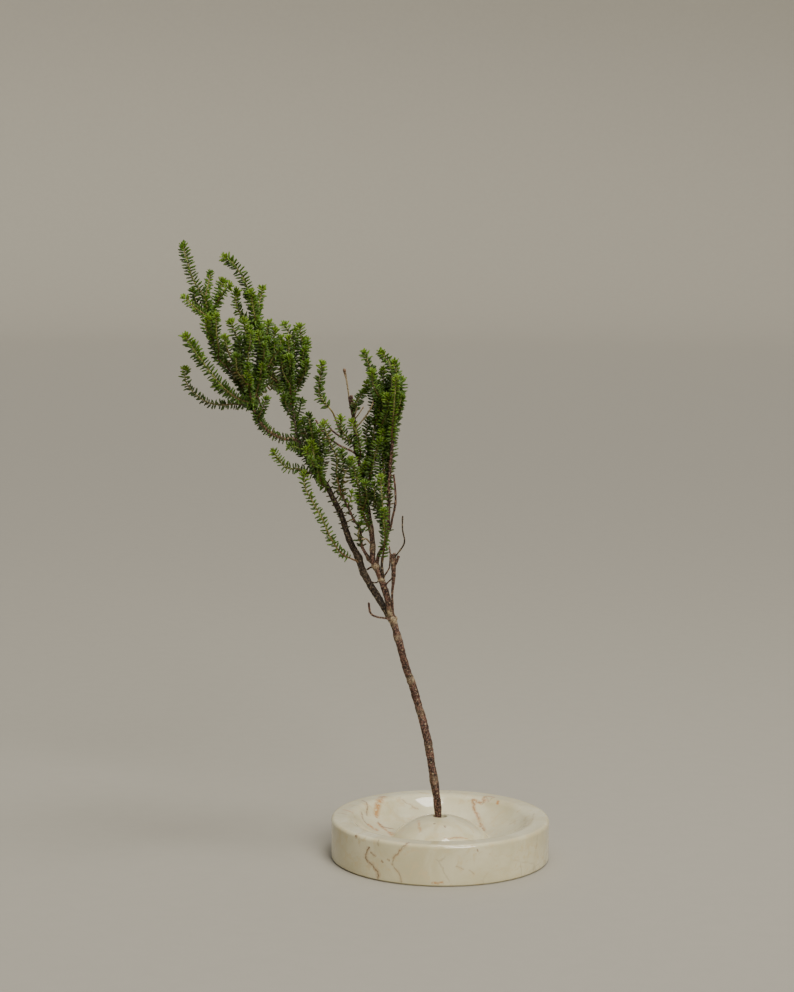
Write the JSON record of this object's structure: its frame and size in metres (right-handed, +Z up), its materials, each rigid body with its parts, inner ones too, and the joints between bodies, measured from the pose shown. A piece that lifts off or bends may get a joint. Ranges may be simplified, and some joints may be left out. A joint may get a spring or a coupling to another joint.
{
  "type": "ikebana arrangement",
  "caption": "Ikebana arrangement: a tall forked heath branch with small narrow leaves, standing in the drilled dome of a low round polished stone dish",
  "frame": {"origin": "the middle of the dish's flat underside, where it rests on a surface", "axes": "+Z is up out of the dish, -Y is the arrangement's front, and the branch leans toward -X"},
  "size_m": [0.201, 0.12, 0.3343],
  "materials": {
    "stone": "polished",
    "bark": "matte",
    "pale_bark": "matte",
    "dark_bark": "matte",
    "leaf": "satin",
    "young_leaf": "satin",
    "old_leaf": "satin"
  },
  "bodies": {
    "root": {"dish": "stone", "main_stem": "bark", "left_limb": "dark_bark", "middle_limb": "bark", "centre_limb": "bark", "right_twig": "bark", "curved_twig": "bark", "lower_arm": "pale_bark", "upper_arm": "dark_bark", "side_stub": "bark", "hook_twig": "bark", "dry_tip": "pale_bark", "bare_twig_low": "bark", "bare_twig_high": "bark", "pale_curl": "pale_bark", "whip_twig": "dark_bark", "inner_twig": "dark_bark", "thin_twig": "bark", "fork_twig": "bark", "needle_twig": "dark_bark", "shoot_top_left": "leaf", "shoot_spur_top": "young_leaf", "shoot_bright_top": "young_leaf", "shoot_bright_side": "young_leaf", "shoot_outer_left": "young_leaf", "shoot_dark_left": "old_leaf", "shoot_crown": "leaf", "shoot_crown_front": "young_leaf", "shoot_crown_left": "leaf", "shoot_crown_right": "young_leaf", "shoot_mid_left": "leaf", "shoot_curl_left": "old_leaf", "shoot_inner_a": "leaf", "shoot_inner_b": "leaf", "shoot_inner_c": "old_leaf", "shoot_inner_d": "leaf", "shoot_inner_e": "leaf", "shoot_inner_f": "leaf", "shoot_inner_g": "leaf", "shoot_inner_h": "old_leaf", "shoot_arm_left": "leaf", "shoot_arm_mid": "leaf", "shoot_arm_right": "leaf", "shoot_low_a": "leaf", "shoot_low_b": "old_leaf", "shoot_low_c": "young_leaf", "shoot_low_small": "young_leaf", "shoot_hanging": "leaf", "shoot_mid_small": "leaf", "shoot_mid_low": "old_leaf", "shoot_centre_front": "young_leaf", "shoot_centre_left": "young_leaf", "shoot_low_left": "young_leaf", "shoot_right_low": "leaf", "shoot_right_a": "leaf", "shoot_right_b": "leaf", "shoot_right_c": "old_leaf", "shoot_right_d": "leaf", "shoot_right_e": "leaf", "shoot_right_f": "young_leaf"}
  },
  "joints": []
}
